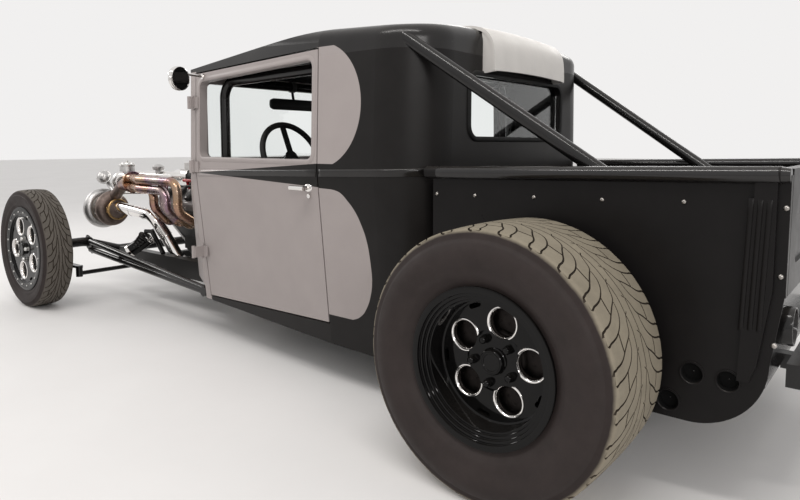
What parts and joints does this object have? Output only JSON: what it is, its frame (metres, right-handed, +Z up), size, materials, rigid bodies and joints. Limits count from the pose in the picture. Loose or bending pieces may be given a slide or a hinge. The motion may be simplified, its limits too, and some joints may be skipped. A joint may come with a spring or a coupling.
{
  "type": "hot rod pickup truck",
  "caption": "Chopped closed-cab hot rod pickup with a short bed, open twin-turbo V8, dropped front axle and wide rear tyres; wheels, steering, doors and tailgate move.",
  "frame": {"origin": "on the ground below the middle of the car's length and width", "axes": "+X forward, +Y to the car's left, +Z up"},
  "size_m": [4.0201, 1.9304, 1.3552],
  "materials": {
    "body_paint": "satin",
    "door_paint": "satin",
    "black_metal": "gloss",
    "frame_paint": "satin",
    "wheel_black": "gloss",
    "tyre_rubber": "matt",
    "bright_metal": "polished",
    "cast_alloy": "cast",
    "engine_iron": "painted",
    "header_steel": "heat tinted",
    "black_plastic": "matt",
    "glass": "clear",
    "lamp_lens": "gloss",
    "seat_leather": "satin"
  },
  "bodies": {
    "chassis": {"frame_rails": "frame_paint", "front_axle": "black_metal", "radius_rods": "black_metal", "front_coilovers": "bright_metal", "rear_axle": "black_metal", "rear_suspension": "black_metal", "driveline": "cast_alloy", "engine_block": "engine_iron", "valve_covers": "cast_alloy", "front_drive": "cast_alloy", "intake_manifold": "black_plastic", "headers": "header_steel", "turbo_turbines": "header_steel", "turbo_compressors": "cast_alloy", "downpipes": "bright_metal", "charge_pipes": "cast_alloy", "wastegates": "cast_alloy", "cab_shell": "body_paint", "roof": "body_paint", "cowl": "door_paint", "cab_floor": "frame_paint", "windscreen": "glass", "rear_glass": "glass", "seat": "seat_leather", "dashboard": "black_plastic", "roll_cage": "black_metal", "bed_sides": "body_paint", "bed_floor": "body_paint", "tail_panel": "black_metal", "tail_lamps": "lamp_lens", "roof_struts": "black_metal"},
    "door_left_body": {"door_left": "door_paint", "door_hinges_left": "door_paint", "door_fittings_left": "bright_metal"},
    "door_right_body": {"door_right": "door_paint", "door_hinges_right": "door_paint", "door_fittings_right": "bright_metal"},
    "steer_left": {"knuckle_left": "black_metal"},
    "steer_right": {"knuckle_right": "black_metal"},
    "track_rod": {"tie_rod": "black_metal"},
    "steering_wheel_body": {"steering_wheel": "black_plastic"},
    "tailgate_body": {"tailgate": "body_paint"},
    "wheel_front_left": {"rim_front_left": "wheel_black", "tyre_front_left": "tyre_rubber"},
    "wheel_front_right": {"rim_front_right": "wheel_black", "tyre_front_right": "tyre_rubber"},
    "wheel_rear_left": {"rim_rear_left": "wheel_black", "tyre_rear_left": "tyre_rubber"},
    "wheel_rear_right": {"rim_rear_right": "wheel_black", "tyre_rear_right": "tyre_rubber"}
  },
  "joints": [
    {"name": "wheel_rear_left_spin", "type": "hinge", "parent": "chassis", "child": "wheel_rear_left", "pos_m": [-1.3601, 0.79, 0.3556], "axis": [0, 1, 0], "continuous": true},
    {"name": "wheel_rear_right_spin", "type": "hinge", "parent": "chassis", "child": "wheel_rear_right", "pos_m": [-1.3601, -0.79, 0.3556], "axis": [0, 1, 0], "continuous": true},
    {"name": "wheel_front_left_spin", "type": "hinge", "parent": "steer_left", "child": "wheel_front_left", "pos_m": [1.6799, 0.8105, 0.3302], "axis": [0, 1, 0], "continuous": true},
    {"name": "wheel_front_right_spin", "type": "hinge", "parent": "steer_right", "child": "wheel_front_right", "pos_m": [1.6799, -0.8105, 0.3302], "axis": [0, 1, 0], "continuous": true},
    {"name": "kingpin_left_turn", "type": "hinge", "parent": "chassis", "child": "steer_left", "pos_m": [1.6799, 0.645, 0.3302], "axis": [0, 0, 1], "range_deg": [-25, 25]},
    {"name": "kingpin_right_turn", "type": "hinge", "parent": "chassis", "child": "steer_right", "pos_m": [1.6799, -0.645, 0.3302], "axis": [0, 0, 1], "range_deg": [-25, 25]},
    {"name": "tie_rod_slide", "type": "slide", "parent": "chassis", "child": "track_rod", "axis": [0, 1, 0], "range_m": [-0.075, 0.075]},
    {"name": "steering_wheel_turn", "type": "hinge", "parent": "chassis", "child": "steering_wheel_body", "pos_m": [0.0119, 0.34, 0.856], "axis": [-0.9135, 0, 0.4067], "range_deg": [-320, 320]},
    {"name": "door_left_swing", "type": "hinge", "parent": "chassis", "child": "door_left_body", "pos_m": [0.3769, 0.62569, 0.7], "axis": [0, 0, -1], "range_deg": [0, 65]},
    {"name": "door_right_swing", "type": "hinge", "parent": "chassis", "child": "door_right_body", "pos_m": [0.3769, -0.62569, 0.7], "axis": [0, 0, 1], "range_deg": [0, 65]},
    {"name": "tailgate_drop", "type": "hinge", "parent": "chassis", "child": "tailgate_body", "pos_m": [-1.9501, 0, 0.571], "axis": [0, -1, 0], "range_deg": [0, 90]}
  ],
  "couplings": [
    {"joint": "kingpin_right_turn", "follows": "kingpin_left_turn", "ratio": 1},
    {"joint": "tie_rod_slide", "follows": "kingpin_left_turn", "m_per_rad": -0.16},
    {"joint": "steering_wheel_turn", "follows": "kingpin_left_turn", "ratio": 12}
  ]
}
